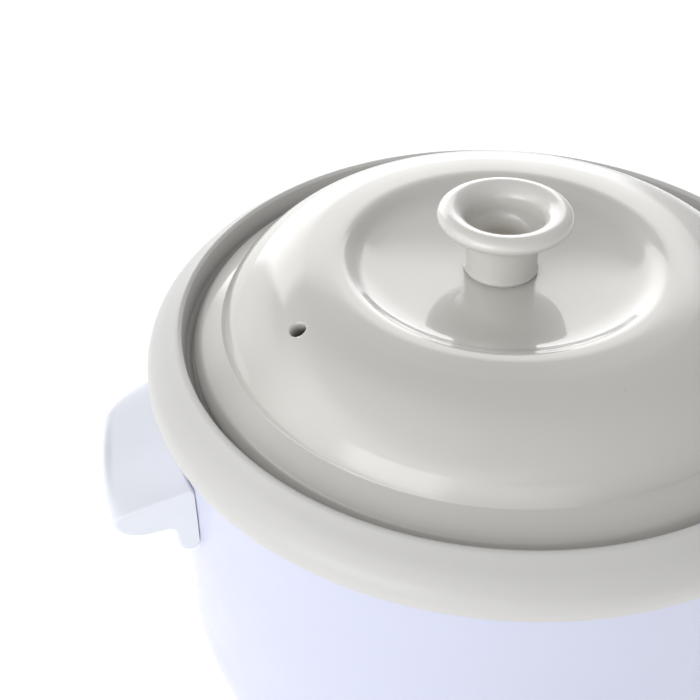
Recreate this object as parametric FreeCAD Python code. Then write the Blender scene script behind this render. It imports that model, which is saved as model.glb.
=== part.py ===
import FreeCAD, Part
import math
import os

# A round slow cooker: a lift-out glazed stoneware pot with a domed lid, hung in a heated
# metal well inside a painted shell.  Millimetres, +Z up.  The origin is on the pot's axis,
# in the plane of the feet.  The control dial faces -Y and the handles lie on the X axis.

os.makedirs("parts", exist_ok=True)

V = FreeCAD.Vector
X_AXIS = V(1, 0, 0)
Y_AXIS = V(0, 1, 0)
Z_AXIS = V(0, 0, 1)

# ---- driving dimensions ----------------------------------------------------------------
GAP = 0.3                 # clearance between pieces of different bodies
FIT = 0.1                 # clearance between a screw and its hole, on the radius

R_LIP = 115.0             # crest circle of the pot's lip
Z_LIP = 186.0             # height of that crest above the table
R_RIM = 127.4             # outer edge of the pot's rim
RIM_DROP = 16.0           # from the crest down to the rim's outer edge
POT_WALL = 7.0
R_POT = 108.5             # outside of the pot's wall, just under the rim
R_POT_LOW = 104.5         # the same, above the bottom corner
LEDGE_DROP = 11.3         # from the crest down to the ledge that carries the lid

R_LID = 110.6             # outer edge of the lid's flange
R_SHOULDER = 99.0         # where the dome rises from the flange
R_CREST = 65.0            # highest circle of the dome
R_DISH = 54.5             # edge of the dish round the knob
DOME_RISE = 20.6          # crest of the dome above the lip
DISH_RISE = 14.3          # floor of the dish above the lip
LID_WALL = 6.0
VENT_AZIMUTH = -162.5     # degrees
R_VENT = 79.5             # the vent's distance from the axis
VENT_BORE = 2.7
VENT_TILT = 22.0          # degrees from upright, along the dome's normal

R_KNOB = 23.1             # outer edge of the knob's ring
R_KNOB_TOP = 19.0         # its highest circle
KNOB_RISE = 38.7          # height of that circle above the lip
R_STEM = 12.9

Z_COVER = 9.0             # underside of the bottom cover, on the feet
COVER = 2.5               # thickness of the bottom cover
SHEET = 1.5               # thickness of the painted shell
R_SHELL_TOP = 120.8
R_BELLY = 124.0
Z_BELLY = 58.0
R_SHELL_LOW = 104.0
R_SHELL_MOUTH = 113.2     # opening at the shell's top
R_SHELL_BASE = 95.0       # opening at the shell's bottom

R_WELL = 112.2            # outside of the metal well
WELL_SHEET = 1.0
Z_WELL = 53.0             # underside of the well
WELL_CORNER = 14.0

HANDLE_REACH = 149.5      # handle's nose, measured from the axis
HANDLE_DROP = 36.5        # from the lip's crest down to the handle's top at the shell
HANDLE_HALF = 34.0        # half of the handle's width
HANDLE_FRONT = 5.0        # corner radius of the handle's front end, seen from above
HANDLE_BACK = 20.0        # the same of its back end
SCOOP = 140.0             # radius of the hollow across the handle's top

PANEL_FRONT = 131.0       # distance of the panel's face from the axis
SIDE_REACH = 144.0        # the dial in front and the inlet behind both reach this far
Z_DIAL = 38.0
R_DIAL = 18.0
Z_INLET = 36.0

# ---- levels worked out from them ----------------------------------------------------------
Z_SHELL_LOW = Z_COVER + COVER
Z_SHELL_TOP = Z_LIP - 19.5
Z_RIM_UNDER = Z_LIP - RIM_DROP - 0.7
Z_LEDGE = Z_LIP - LEDGE_DROP
Z_POT = Z_WELL + WELL_SHEET + 2.5
Z_POT_FLOOR = Z_POT + 8.0
Z_DISH = Z_LIP + DISH_RISE


# ---- small modelling helpers ---------------------------------------------------------------
def outline(start, steps):
    """Edges in the XZ plane: a step is (r, z) for a line, or ((r, z), (r, z)) for an arc
    through the first point to the second."""
    here = V(start[0], 0, start[1])
    first = here
    edges = []
    for step in steps:
        if isinstance(step[0], tuple):
            mid = V(step[0][0], 0, step[0][1])
            end = V(step[1][0], 0, step[1][1])
            edges.append(Part.Arc(here, mid, end).toShape())
        else:
            end = V(step[0], 0, step[1])
            edges.append(Part.LineSegment(here, end).toShape())
        here = end
    if (here - first).Length > 1e-6:
        edges.append(Part.LineSegment(here, first).toShape())
    return Part.Face(Part.Wire(edges))


def turned(start, steps, angle=360.0):
    return outline(start, steps).revolve(V(0, 0, 0), Z_AXIS, angle)


def rod(radius, start, axis, length):
    return Part.makeCylinder(radius, length, start, axis)


def upright(radius, low, high, x=0.0, y=0.0):
    return Part.makeCylinder(radius, high - low, V(x, y, low), Z_AXIS)


def ring(inner, outer, low, high):
    return upright(outer, low, high).cut(upright(inner, low, high))


def block(x_range, y_range, z_range):
    size = [high - low for low, high in (x_range, y_range, z_range)]
    return Part.makeBox(size[0], size[1], size[2], V(x_range[0], y_range[0], z_range[0]))


def polar(radius, degrees, z=0.0):
    turn = math.radians(degrees)
    return V(radius * math.cos(turn), radius * math.sin(turn), z)


def moved(shape, offset):
    copy = shape.copy()
    copy.translate(offset)
    return copy


def spun(shape, degrees):
    copy = shape.copy()
    copy.rotate(V(0, 0, 0), Z_AXIS, degrees)
    return copy


def save(name, shapes):
    solids = shapes if isinstance(shapes, list) else [shapes]
    shape = solids[0] if len(solids) == 1 else Part.makeCompound(solids)
    shape.exportStep("parts/" + name + ".step")
    size = shape.BoundBox
    print("%-20s valid %s solids %d  %.1f x %.1f x %.1f" % (
        name, shape.isValid(), len(shape.Solids), size.XLength, size.YLength, size.ZLength))


# ---- pot and lid ------------------------------------------------------------------------------
def make_pot():
    r_in = R_POT - POT_WALL
    r_in_low = R_POT_LOW - POT_WALL
    under = Z_RIM_UNDER
    return turned((0, Z_POT + 1.0), [
        (82, Z_POT + 1.0),
        (84, Z_POT),
        (90, Z_POT),
        ((R_POT_LOW - 3.9, Z_POT + 4.3), (R_POT_LOW, Z_POT + 14)),
        (R_POT, under - 3),
        ((R_POT + 0.6, under - 0.8), (R_POT + 2, under)),
        (R_RIM - 2.6, under),
        ((R_RIM - 0.4, under + 0.5), (R_RIM, under + 2.2)),
        ((R_RIM - 1.0, Z_LIP - 10.6), (R_RIM - 4.0, Z_LIP - 6.3)),
        ((R_LIP + 5.4, Z_LIP - 2.6), (R_LIP + 1.2, Z_LIP - 0.25)),
        ((R_LIP, Z_LIP), (R_LIP - 1.2, Z_LIP - 1.2)),
        (R_LIP - 1.6, Z_LEDGE + 2),
        ((R_LIP - 2.2, Z_LEDGE + 0.5), (R_LIP - 3.6, Z_LEDGE)),
        (r_in + 2, Z_LEDGE),
        ((r_in + 0.6, Z_LEDGE - 0.6), (r_in, Z_LEDGE - 2)),
        (r_in_low, Z_POT_FLOOR + 16),
        ((r_in_low - 4.7, Z_POT_FLOOR + 4.7), (r_in_low - 16, Z_POT_FLOOR)),
        (0, Z_POT_FLOOR)])


def make_lid():
    seat = Z_LEDGE + GAP
    crest = Z_LIP + DOME_RISE
    floor_low = Z_DISH - LID_WALL
    body = turned((0, Z_DISH), [
        (R_DISH - 20.5, Z_DISH),
        ((R_DISH - 11.7, Z_DISH + 0.8), (R_DISH - 4.2, Z_DISH + 3.1)),
        ((R_DISH - 1.2, Z_DISH + 5.0), (R_DISH + 2.5, crest - 0.25)),
        (R_CREST, crest),
        ((R_CREST + 20.2, crest - 5.6), (R_SHOULDER, Z_LIP + 1.6)),
        ((R_SHOULDER + 0.7, Z_LIP), (R_SHOULDER + 2.2, Z_LIP - 1.2)),
        (R_LID - 1.0, Z_LIP - 6.2),
        ((R_LID, Z_LIP - 7.3), (R_LID - 0.5, seat + 0.9)),
        (R_LID - 1.6, seat),
        (R_SHOULDER + 1.0, seat),
        (R_SHOULDER + 0.4, seat - 3.6),
        (R_SHOULDER - 3.2, seat - 3.6),
        (R_SHOULDER - 6.2, Z_LIP - 1.5),
        ((R_CREST + 17.5, crest - LID_WALL - 6.0), (R_CREST, crest - LID_WALL)),
        (R_DISH + 4.6, crest - LID_WALL - 0.2),
        ((R_DISH + 0.6, crest - LID_WALL - 1.6), (R_DISH - 3.0, floor_low + 2.6)),
        ((R_DISH - 11.0, floor_low + 0.6), (R_DISH - 19.0, floor_low)),
        (0, floor_low)])
    vent_axis = spun(Part.makeLine(V(0, 0, 0), V(math.sin(math.radians(VENT_TILT)), 0,
                                                 math.cos(math.radians(VENT_TILT)))), VENT_AZIMUTH)
    direction = vent_axis.Vertexes[-1].Point
    vent_centre = polar(R_VENT, VENT_AZIMUTH, crest - 2.6)
    vent = rod(VENT_BORE, vent_centre - direction * 20, direction, 40)
    return body.cut(vent).cut(upright(3.2, floor_low - 1, Z_DISH + 1))


def make_lid_knob():
    low = Z_DISH + 0.5
    top = Z_LIP + KNOB_RISE
    blind = Z_DISH + 11.0
    body = turned((0, low), [
        (R_STEM - 0.8, low),
        ((R_STEM - 0.2, low + 0.3), (R_STEM, low + 1.0)),
        (R_STEM - 0.2, low + 8.0),
        ((R_STEM + 0.7, low + 13.2), (R_KNOB - 5.0, top - 7.5)),
        (R_KNOB - 2.3, top - 5.8),
        ((R_KNOB, top - 3.0), (R_KNOB_TOP, top)),
        ((R_KNOB_TOP - 4.3, top - 2.2), (R_KNOB_TOP - 7.0, top - 6.6)),
        ((8.4, blind + 3.5), (7.4, blind + 1.0)),
        ((7.0, blind + 0.3), (6.2, blind)),
        (0, blind)])
    return body.cut(upright(2.6, low - 1, low + 8.6))


def make_lid_fittings():
    """Silicone seal above the lid's wall, washer and screw below it."""
    low = Z_DISH - LID_WALL
    seal = ring(3.4, R_STEM - 0.4, Z_DISH, Z_DISH + 0.5)
    washer = ring(3.0, 9.0, low - 1.2, low)
    head = upright(5.2, low - 4.4, low - 1.2)
    slot = block((-5.5, 5.5), (-0.7, 0.7), (low - 4.4, low - 3.0))
    screw = head.cut(slot).fuse(upright(2.5, low - 1.2, Z_DISH + 8.6))
    return seal, washer, screw


# ---- shell, well and bottom -----------------------------------------------------------------
def shell_envelope(grow):
    """The solid inside the shell's outer face, with every face moved out by grow."""
    top = Z_SHELL_TOP + grow
    low = Z_SHELL_LOW - grow
    return turned((0, low), [
        (R_SHELL_LOW + grow, low),
        ((119.6 + grow, 27.5 - grow / 2), (R_BELLY + grow, Z_BELLY)),
        (R_SHELL_TOP + grow, top - 2.2),
        ((R_SHELL_TOP - 0.6 + grow, top - 0.6), (R_SHELL_TOP - 2.2, top)),
        (0, top)])


def handle_screw_places():
    return [(side, y, Z_LIP - HANDLE_DROP - 12.0) for side in (-1, 1) for y in (-16.0, 16.0)]


PANEL_SCREWS = [(-20.0, 60.0), (20.0, 60.0)]
LAMP_PLACE = (0.0, 69.0)
COVER_SCREW_ANGLES = [0, 90, 180, 270]
FOOT_ANGLES = {"back_right": 45, "back_left": 135, "front_left": 225, "front_right": 315}
FOOT_CIRCLE = 82.0
COVER_SCREW_CIRCLE = 99.5
STUD_CIRCLE = 62.0
STUD_ANGLES = [30, 150, 270]
M4 = 2.0
M3 = 1.5


def make_housing():
    shell = shell_envelope(0).cut(shell_envelope(-SHEET))
    shell = shell.cut(upright(R_SHELL_MOUTH, Z_SHELL_TOP - 5, Z_SHELL_TOP + 5))
    shell = shell.cut(upright(R_SHELL_BASE, Z_SHELL_LOW - 5, Z_SHELL_LOW + 5))
    holes = [rod(M4 + 0.2, V(side * 110, y, z), V(side, 0, 0), 20)
             for side, y, z in handle_screw_places()]
    holes += [rod(M3 + 0.2, V(x, -100, z), -Y_AXIS, 40) for x, z in PANEL_SCREWS]
    holes += [rod(3.4, V(LAMP_PLACE[0], -100, LAMP_PLACE[1]), -Y_AXIS, 40)]
    holes += [rod(4.9, V(0, -100, Z_DIAL), -Y_AXIS, 40)]
    holes += [block((-14.6, 14.6), (100, 140), (Z_INLET - 10.6, Z_INLET + 10.6))]
    for angle in COVER_SCREW_ANGLES:
        place = polar(COVER_SCREW_CIRCLE, angle)
        holes.append(upright(M3 + FIT, 0, 20, place.x, place.y))
    for hole in holes:
        shell = shell.cut(hole)
    return shell


def make_well():
    r_in = R_WELL - WELL_SHEET
    top = Z_SHELL_TOP + WELL_SHEET
    bend = WELL_CORNER * (1 - math.sqrt(0.5))
    inner_bend = (WELL_CORNER - WELL_SHEET) * (1 - math.sqrt(0.5))
    floor = Z_WELL + WELL_SHEET
    return turned((0, Z_WELL), [
        (R_WELL - WELL_CORNER, Z_WELL),
        ((R_WELL - bend, Z_WELL + bend), (R_WELL, Z_WELL + WELL_CORNER)),
        (R_WELL, Z_SHELL_TOP),
        (117.0, Z_SHELL_TOP),
        (117.0, top),
        (r_in, top),
        (r_in, Z_WELL + WELL_CORNER),
        ((r_in - inner_bend, floor + inner_bend), (R_WELL - WELL_CORNER, floor)),
        (0, floor)])


def make_top_ring():
    """Silicone ring that covers the well's flange and carries the pot's rim."""
    step = Z_SHELL_TOP + WELL_SHEET
    top = Z_RIM_UNDER - GAP
    return turned((112.2, step), [
        (117.2, step),
        (117.2, Z_SHELL_TOP),
        (118.4, Z_SHELL_TOP),
        ((119.3, Z_SHELL_TOP + 0.6), (119.4, top - 1.0)),
        ((119.1, top - 0.3), (118.4, top)),
        (112.2, top)])


def make_bottom_cover():
    cover = upright(103.0, Z_COVER, Z_COVER + COVER)
    for angle in COVER_SCREW_ANGLES:
        place = polar(COVER_SCREW_CIRCLE, angle)
        cover = cover.cut(upright(M3 + FIT, 0, 20, place.x, place.y))
    for angle in STUD_ANGLES:
        place = polar(STUD_CIRCLE, angle)
        cover = cover.cut(upright(M4 + 0.3, 0, 20, place.x, place.y))
    for angle in FOOT_ANGLES.values():
        place = polar(FOOT_CIRCLE, angle)
        cover = cover.cut(upright(M3 + FIT, 0, 20, place.x, place.y))
    slot = block((30, 52), (-1.5, 1.5), (0, 20))
    slot = slot.fuse(upright(1.5, 0, 20, 30)).fuse(upright(1.5, 0, 20, 52))
    for step in range(24):
        angle = 15 * step
        if all(abs((angle - stud + 180) % 360 - 180) > 8 for stud in STUD_ANGLES):
            cover = cover.cut(spun(slot, angle))
    return cover


def make_foot(angle):
    place = polar(FOOT_CIRCLE, angle)
    body = turned((0, 0), [
        (8.0, 0),
        ((8.8, 0.3), (9.0, 1.2)),
        (10.0, Z_COVER),
        (0, Z_COVER)])
    body = body.cut(upright(4.0, -1, 4.5)).cut(upright(M3 + FIT, 0, 20))
    return moved(body, place)


def round_screw(radius, head_radius, head_height, length):
    """A screw whose shank runs up from z = 0 and whose head hangs below it."""
    head = upright(head_radius, -head_height, 0)
    cross = block((-head_radius * 0.6, head_radius * 0.6), (-0.5, 0.5), (-head_height, -head_height + 0.8))
    cross = cross.fuse(spun(cross, 90))
    return head.cut(cross).fuse(upright(radius, 0, length))


def make_cover_screws():
    screw = round_screw(M3, 3.0, 1.8, 7.0)
    return [moved(screw, polar(COVER_SCREW_CIRCLE, angle, Z_COVER)) for angle in COVER_SCREW_ANGLES]


def make_foot_screws():
    screw = round_screw(M3, 3.2, 1.8, 9.0)
    return [moved(screw, polar(FOOT_CIRCLE, angle, 4.5)) for angle in FOOT_ANGLES.values()]


def make_well_studs():
    return [upright(M4, 5.6, Z_WELL, place.x, place.y)
            for place in [polar(STUD_CIRCLE, angle) for angle in STUD_ANGLES]]


def hex_nut(flats, hole, height):
    corner = flats / math.sqrt(3)
    points = [polar(corner, 60 * step) for step in range(7)]
    body = Part.Face(Part.makePolygon(points)).extrude(V(0, 0, height))
    return body.cut(upright(hole, -1, height + 1))


def make_stud_nuts():
    nut = hex_nut(7.0, M4 + 0.05, 2.9)
    return [moved(nut, polar(STUD_CIRCLE, angle, Z_COVER - 2.9)) for angle in STUD_ANGLES]


# ---- heater -----------------------------------------------------------------------------------
HEATER_LOW = 76.0
HEATER_HIGH = 122.0
R_HEATER = R_WELL + 0.3
HEATER_THICK = 2.6
CLAMP_HALF = 6.0          # half of the band's open gap, at the rear
Y_CLAMP = R_HEATER + 5.4
Z_CLAMP = (HEATER_LOW + HEATER_HIGH) / 2


def make_band_heater():
    band = ring(R_HEATER, R_HEATER + HEATER_THICK, HEATER_LOW, HEATER_HIGH)
    band = band.cut(block((-CLAMP_HALF, CLAMP_HALF), (90, 130), (HEATER_LOW - 1, HEATER_HIGH + 1)))
    for side in (-1, 1):
        low, high = sorted((side * CLAMP_HALF, side * (CLAMP_HALF + 1.2)))
        ear = block((low, high), (R_HEATER + 0.4, R_HEATER + 7.4), (HEATER_LOW + 12, HEATER_HIGH - 12))
        ear = ear.cut(rod(M3 + FIT, V(low - 1, Y_CLAMP, Z_CLAMP), X_AXIS, 4))
        band = band.fuse(ear)
    return band


def make_clamp_bolt():
    shank = rod(M3, V(-CLAMP_HALF - 5.2, Y_CLAMP, Z_CLAMP), X_AXIS, 2 * CLAMP_HALF + 6.4)
    head = rod(2.3, V(CLAMP_HALF + 1.2, Y_CLAMP, Z_CLAMP), X_AXIS, 2.0)
    return shank.fuse(head)


def make_clamp_nut():
    nut = hex_nut(4.6, M3 + 0.05, 2.2)
    nut.rotate(V(0, 0, 0), Y_AXIS, -90)
    return moved(nut, V(-CLAMP_HALF - 1.2, Y_CLAMP, Z_CLAMP))


def make_insulation():
    blanket = ring(R_HEATER + HEATER_THICK + 0.3, 119.6, 70.0, 128.0)
    clear = block((-15, 15), (90, 130), (60, 140))
    lamp_room = block((-8, 8), (-130, -90), (55, 80))
    lead_room = block((36, 78), (-130, -60), (60, HEATER_LOW + 4))
    return blanket.cut(clear).cut(lamp_room).cut(lead_room)


# ---- handles ----------------------------------------------------------------------------------
GRIP_DROP = 13.0          # roof of the finger hollow, below the handle's top at the shell


def make_handle(side):
    wall = R_SHELL_TOP - 4
    top = Z_LIP - HANDLE_DROP
    profile = outline((wall, top), [
        (126.0, top + 0.3),
        ((137.0, top - 3.0), (145.0, top - 4.9)),
        ((HANDLE_REACH - 0.2, top - 8.2), (147.8, top - 13.6)),
        ((141.5, top - 17.6), (134.6, top - 16.9)),
        ((130.8, top - 16.9), (129.8, top - 19.0)),
        (129.2, top - 25.6),
        ((127.2, top - 29.0), (124.0, top - 29.4)),
        (wall, top - 29.4)])
    profile.rotate(V(0, 0, 0), Z_AXIS, -25)
    lug = profile.revolve(V(0, 0, 0), Z_AXIS, 50)
    plan = block((105, HANDLE_REACH), (-HANDLE_HALF, HANDLE_HALF), (top - 40, top + 5))
    corners = [edge for edge in plan.Edges
               if edge.BoundBox.XMin > HANDLE_REACH - 1 and edge.BoundBox.ZLength > 10]
    corners.sort(key=lambda edge: edge.BoundBox.YMin)
    plan = plan.makeFillet(HANDLE_FRONT, corners[:1])
    back = [edge for edge in plan.Edges
            if edge.BoundBox.XMin > HANDLE_REACH - 1 and edge.BoundBox.YMin > HANDLE_HALF - 1]
    plan = plan.makeFillet(HANDLE_BACK, [edge for edge in back if edge.BoundBox.ZLength > 10])
    lug = lug.common(plan).cut(shell_envelope(0.15))
    scoop = rod(SCOOP, V(117, 0, top + SCOOP - 3.2), V(1, 0, -0.17), 60)
    grip = block((133.0, 143.5), (-24, 20), (top - 30, top - GRIP_DROP))
    grip = grip.makeFillet(3.0, [edge for edge in grip.Edges if edge.BoundBox.ZLength > 10])
    lug = lug.cut(scoop).cut(grip)
    for place_side, y, z in handle_screw_places():
        if place_side > 0:
            lug = lug.cut(rod(M4 + FIT, V(110, y, z), X_AXIS, 20))
    return lug if side > 0 else lug.mirror(V(0, 0, 0), X_AXIS)


def make_handle_screws():
    screws = []
    for side, y, z in handle_screw_places():
        head = rod(3.5, V(side * 115.2, y, z), V(side, 0, 0), 2.0)
        screws.append(head.fuse(rod(M4, V(side * 117.2, y, z), V(side, 0, 0), 12.0)))
    return screws


# ---- front panel and dial -------------------------------------------------------------------
PANEL_HALF = 29.0
PANEL_LOW = 43.0          # centre of the panel's lower round end
PANEL_HIGH = 49.5         # centre of its upper one
PANEL_WALL = 3.0
SWITCH_FRONT = -116.4     # front of the switch's body
SWITCH_BACK = -98.0
SHAFT_TIP = 141.2         # distance of the shaft's end from the axis
SHAFT_FLAT = 129.5        # where the flat on the shaft begins


def make_control_panel():
    def slab(half, back, front):
        low = rod(half, V(0, -back, PANEL_LOW), -Y_AXIS, front - back)
        high = rod(half, V(0, -back, PANEL_HIGH), -Y_AXIS, front - back)
        middle = block((-half, half), (-front, -back), (PANEL_LOW, PANEL_HIGH))
        return low.fuse(high).fuse(middle).removeSplitter()
    panel = slab(PANEL_HALF, 100, PANEL_FRONT)
    edge = [e for e in panel.Edges if e.BoundBox.YMax < 0.01 - PANEL_FRONT]
    panel = panel.makeFillet(2.0, edge)
    panel = panel.cut(shell_envelope(0.15))
    panel = panel.cut(rod(10.0, V(0, -100, Z_DIAL), -Y_AXIS, PANEL_FRONT - PANEL_WALL - 100))
    panel = panel.cut(rod(6.6, V(0, -100, Z_DIAL), -Y_AXIS, 40))
    panel = panel.cut(rod(3.1, V(LAMP_PLACE[0], -100, LAMP_PLACE[1]), -Y_AXIS, 40))
    for x, z in PANEL_SCREWS:
        panel = panel.cut(rod(M3 + FIT, V(x, -100, z), -Y_AXIS, PANEL_FRONT - PANEL_WALL - 100))
    return panel


def make_panel_screws():
    screws = []
    for x, z in PANEL_SCREWS:
        shank = rod(M3, V(x, -120.2, z), -Y_AXIS, 7.4)
        screws.append(shank.fuse(rod(2.8, V(x, -118.6, z), -Y_AXIS, 1.6)))
    return screws


DIAL_STEP = 45.0          # degrees from one setting to the next
DIAL_SETTINGS = 4
DIAL_START = -67.5        # the off mark, clockwise from upright as seen from the front


def make_dial_scale():
    """Raised marks round the dial, one for each setting, the first one at the left."""
    marks = []
    for setting in range(DIAL_SETTINGS):
        mark = block((-0.6, 0.6), (-PANEL_FRONT - 0.3, -PANEL_FRONT), (19.6, 22.6))
        mark.rotate(V(0, 0, 0), Y_AXIS, DIAL_START + DIAL_STEP * setting)
        marks.append(moved(mark, V(0, 0, Z_DIAL)))
    return marks


def make_lamp_lens():
    lens = rod(3.0, V(LAMP_PLACE[0], -125, LAMP_PLACE[1]), -Y_AXIS, 6.0)
    dome = Part.makeSphere(6.0, V(LAMP_PLACE[0], 6.0 - PANEL_FRONT - 1.0, LAMP_PLACE[1]))
    return lens.fuse(rod(3.0, V(LAMP_PLACE[0], -131, LAMP_PLACE[1]), -Y_AXIS, 2).common(dome))


def make_indicator_lamp():
    return rod(2.5, V(LAMP_PLACE[0], -118.0, LAMP_PLACE[1]), -Y_AXIS, 6.5)


def make_rotary_switch():
    body = block((-12, 12), (SWITCH_FRONT, SWITCH_BACK), (Z_DIAL - 11.5, Z_DIAL + 11.5))
    body = body.fuse(rod(4.6, V(0, SWITCH_FRONT, Z_DIAL), -Y_AXIS, 11.2))
    body = body.cut(rod(3.05, V(0, SWITCH_BACK - 3, Z_DIAL), -Y_AXIS, 40))
    for x in (-8, 0, 8):
        body = body.fuse(block((x - 2.4, x + 2.4), (SWITCH_BACK, SWITCH_BACK + 7), (Z_DIAL - 7.4, Z_DIAL - 6.6)))
    return body


def make_switch_nut():
    nut = hex_nut(13.0, 4.7, 2.2)
    nut.rotate(V(0, 0, 0), X_AXIS, 90)
    return moved(nut, V(0, -125.2, Z_DIAL))


def make_switch_shaft():
    shaft = upright(3.0, 3.2 - SWITCH_BACK, SHAFT_TIP)
    flat = block((-4, 4), (1.6, 5), (SHAFT_FLAT, SHAFT_TIP + 1))
    return laid(shaft.cut(flat))


def make_control_knob():
    back = PANEL_FRONT + 0.7
    face = SIDE_REACH - 0.3
    turned_knob = turned((0, back), [
        (R_DIAL, back),
        (R_DIAL - 0.4, back + 6.5),
        (R_DIAL - 2.2, face - 1.6),
        ((R_DIAL - 2.8, face - 0.4), (R_DIAL - 4.2, face)),
        (0, face)])
    turned_knob = turned_knob.cut(ring(8.0, R_DIAL - 3.4, back - 1, face - 3.0))
    knob = turned_knob.fuse(upright(5.5, back - 3.6, back))
    bore = upright(3.05, back - 5, SHAFT_TIP + 0.4)
    flat = block((-4, 4), (1.65, 5), (SHAFT_FLAT + 0.1, 150))
    knob = knob.cut(bore.cut(flat))
    knob = knob.cut(ring(4.2, 4.9, back - 5, back + 2.0))
    groove_step = 360.0 / 24
    for step in range(24):
        place = polar(R_DIAL + 0.75, groove_step * step)
        groove = upright(1.25, back - 1, face + 1, place.x, place.y)
        knob = knob.cut(groove)
    pointer_seat = block((-0.8, 0.8), (5.0, R_DIAL - 4.6), (face - 0.5, face + 1))
    return laid(knob.cut(pointer_seat))


def laid(shape):
    """Turns a dial piece modelled along +Z, pointer along +Y, to face -Y at the off mark."""
    copy = spun(shape, -DIAL_START)
    copy.rotate(V(0, 0, 0), X_AXIS, 90)
    return moved(copy, V(0, 0, Z_DIAL))


def make_dial_pointer():
    face = SIDE_REACH - 0.3
    return laid(block((-0.75, 0.75), (5.05, R_DIAL - 4.65), (face - 0.5, SIDE_REACH)))


def make_knob_clip():
    back = PANEL_FRONT + 0.7
    clip = ring(4.25, 4.85, back - 3.4, back + 1.9)
    return laid(clip.cut(block((-1.2, 1.2), (0, 6), (back - 4, back + 3))))


# ---- rear inlet ---------------------------------------------------------------------------------
def make_inlet_housing():
    half_x = 31.0
    low = Z_INLET - 17.0
    high = Z_INLET + 17.0
    box = block((-half_x, half_x), (100, SIDE_REACH), (low, high))
    rounds = [e for e in box.Edges if e.BoundBox.YLength > 40]
    box = box.makeFillet(8.0, rounds)
    box = box.makeFillet(1.8, [e for e in box.Edges if e.BoundBox.YMin > SIDE_REACH - 0.01])
    box = box.cut(shell_envelope(0.15))
    box = box.cut(block((-25.2, 25.2), (SIDE_REACH - 3.2, SIDE_REACH + 1), (Z_INLET - 12.2, Z_INLET + 12.2)))
    box = box.cut(block((-14.3, 14.3), (100, SIDE_REACH), (Z_INLET - 10.3, Z_INLET + 10.3)))
    for x in (-20.0, 20.0):
        box = box.cut(rod(M3 + FIT, V(x, SIDE_REACH - 18, Z_INLET), Y_AXIS, 20))
    return box


def make_inlet_socket():
    flange = block((-25, 25), (SIDE_REACH - 3.2, SIDE_REACH), (Z_INLET - 12, Z_INLET + 12))
    flange = flange.makeFillet(4.0, [e for e in flange.Edges if e.BoundBox.YLength > 3])
    body = flange.fuse(block((-14, 14), (112.0, SIDE_REACH - 3), (Z_INLET - 10, Z_INLET + 10)))
    mouth = block((-12.2, 12.2), (SIDE_REACH - 17, SIDE_REACH + 1), (Z_INLET - 8.2, Z_INLET + 8.2))
    chamfered = [e for e in mouth.Edges
                 if e.BoundBox.YLength > 5 and e.BoundBox.ZMin > Z_INLET and abs(e.BoundBox.XMin) > 10]
    mouth = mouth.makeChamfer(4.0, chamfered)
    body = body.cut(mouth)
    for x, z in inlet_pin_places():
        body = body.cut(block((x - 1.1, x + 1.1), (110, SIDE_REACH), (z - 2.1, z + 2.1)))
    for x in (-20.0, 20.0):
        body = body.cut(rod(M3 + FIT, V(x, SIDE_REACH - 5, Z_INLET), Y_AXIS, 10))
        body = body.cut(rod(3.1, V(x, SIDE_REACH - 1.6, Z_INLET), Y_AXIS, 10))
    return body


def inlet_pin_places():
    return [(-7.0, Z_INLET - 2.0), (7.0, Z_INLET - 2.0), (0.0, Z_INLET + 2.0)]


def make_inlet_pins():
    return [block((x - 1.0, x + 1.0), (108.0, SIDE_REACH - 5.5), (z - 2.0, z + 2.0))
            for x, z in inlet_pin_places()]


def make_inlet_screws():
    screws = []
    for x in (-20.0, 20.0):
        head = rod(3.0, V(x, SIDE_REACH - 1.6, Z_INLET), Y_AXIS, 1.5)
        cross = block((x - 1.8, x + 1.8), (SIDE_REACH - 0.8, SIDE_REACH), (Z_INLET - 0.4, Z_INLET + 0.4))
        shank = rod(M3, V(x, SIDE_REACH - 13.6, Z_INLET), Y_AXIS, 12.0)
        screws.append(head.cut(cross).fuse(shank))
    return screws


# ---- parts on the bottom cover and under the well -------------------------------------------------
Z_FLOOR = Z_COVER + COVER
TERMINAL_X = (-14.0, 0.0, 14.0)


def make_terminal_block():
    body = block((-22, 22), (50, 64), (Z_FLOOR, Z_FLOOR + 12))
    for x in TERMINAL_X:
        body = body.cut(rod(2.2, V(x, 57, Z_FLOOR + 8.0), Z_AXIS, 10))
    return body


def make_terminal_screws():
    return [upright(2.0, Z_FLOOR + 8.0, Z_FLOOR + 11.4, x, 57) for x in TERMINAL_X]


def make_thermostat():
    disc = upright(8.0, Z_WELL - 7.0, Z_WELL, 26, -20)
    tabs = block((24.6, 27.4), (-34, -6), (Z_WELL - 5.6, Z_WELL - 4.8))
    return disc.fuse(tabs)


def make_thermostat_clip():
    strap = block((12, 40), (-23, -17), (Z_WELL - 8.0, Z_WELL - 7.0))
    for low in (12, 39):
        strap = strap.fuse(block((low, low + 1), (-23, -17), (Z_WELL - 8.0, Z_WELL)))
    return strap


def make_thermal_fuse():
    return rod(2.0, V(-34, -30, Z_WELL - 2.2), Y_AXIS, 12)


def make_fuse_clip():
    clip = rod(2.7, V(-34, -27, Z_WELL - 2.2), Y_AXIS, 5)
    clip = clip.fuse(block((-42, -34), (-27, -22), (Z_WELL - 0.8, Z_WELL)))
    clip = clip.fuse(block((-34.5, -33.5), (-27, -22), (Z_WELL - 4.8, Z_WELL)))
    return clip.cut(rod(2.05, V(-34, -31, Z_WELL - 2.2), Y_AXIS, 14)).common(
        block((-50, -20), (-30, -20), (0, Z_WELL)))


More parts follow.
